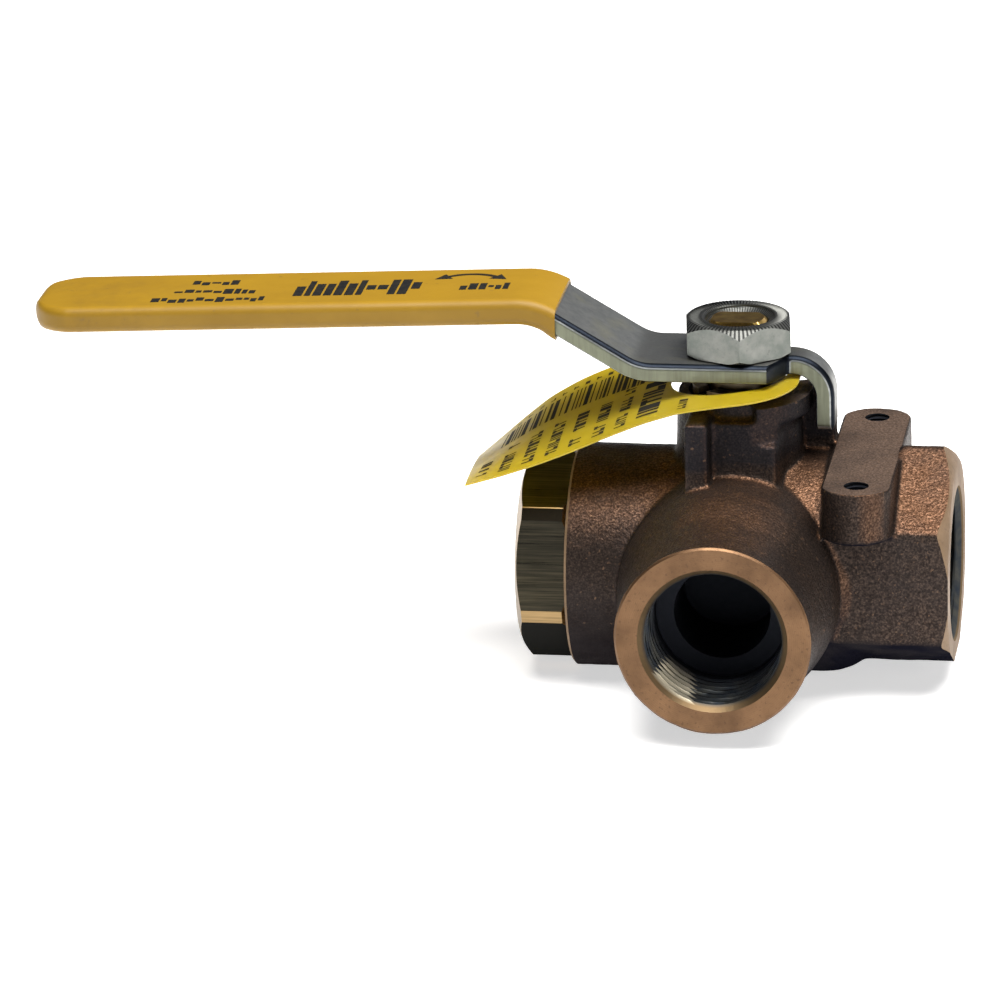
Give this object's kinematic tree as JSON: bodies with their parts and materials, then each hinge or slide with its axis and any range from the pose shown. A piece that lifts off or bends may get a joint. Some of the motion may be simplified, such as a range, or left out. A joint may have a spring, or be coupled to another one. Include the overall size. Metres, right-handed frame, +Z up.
{
  "type": "three way ball valve",
  "caption": "Three way ball valve with a diverting ball, a bent lever with a vinyl grip, a threaded branch and a mounting pad.",
  "frame": {"origin": "centre of the ball, where the run, branch and stem axes cross", "axes": "+X along the run to the cast hexagonal end, -Y out of the branch, +Z up the stem"},
  "size_m": [0.1721, 0.0705, 0.0737],
  "materials": {
    "cast_bronze": "sand cast, dark",
    "machined_brass": "turned",
    "seal_ptfe": "satin",
    "seat_left_ptfe": "satin",
    "seat_right_ptfe": "satin",
    "bearing_ptfe": "satin",
    "lower_ptfe": "satin",
    "middle_ptfe": "satin",
    "upper_ptfe": "satin",
    "gland_brass": "turned",
    "ball_chrome": "polished",
    "stem_brass": "turned",
    "zinc_plate": "zinc plated",
    "yellow_vinyl": "dipped vinyl",
    "nut_zinc": "zinc plated",
    "tag_yellow": "printed plastic film"
  },
  "bodies": {
    "valve_body": {"body_casting": "cast_bronze", "end_retainer": "machined_brass", "retainer_seal": "seal_ptfe", "seat_ring_left": "seat_left_ptfe", "seat_ring_right": "seat_right_ptfe", "stem_thrust_bearing": "bearing_ptfe", "packing_ring_lower": "lower_ptfe", "packing_ring_middle": "middle_ptfe", "packing_ring_upper": "upper_ptfe", "packing_gland": "gland_brass"},
    "handle": {"ball": "ball_chrome", "stem": "stem_brass", "lever_plate": "zinc_plate", "grip_sleeve": "yellow_vinyl", "handle_nut": "nut_zinc"},
    "tag": {"id_tag": "tag_yellow"}
  },
  "joints": [
    {"name": "handle_turn", "type": "hinge", "parent": "valve_body", "child": "handle", "pos_m": [0, 0, 0.0408], "axis": [0, 0, 1], "range_deg": [-90, 0]},
    {"name": "tag_swivel", "type": "hinge", "parent": "handle", "child": "tag", "pos_m": [0, 0, 0.0408], "axis": [0, 0, 1], "range_deg": [-5, 5]}
  ]
}
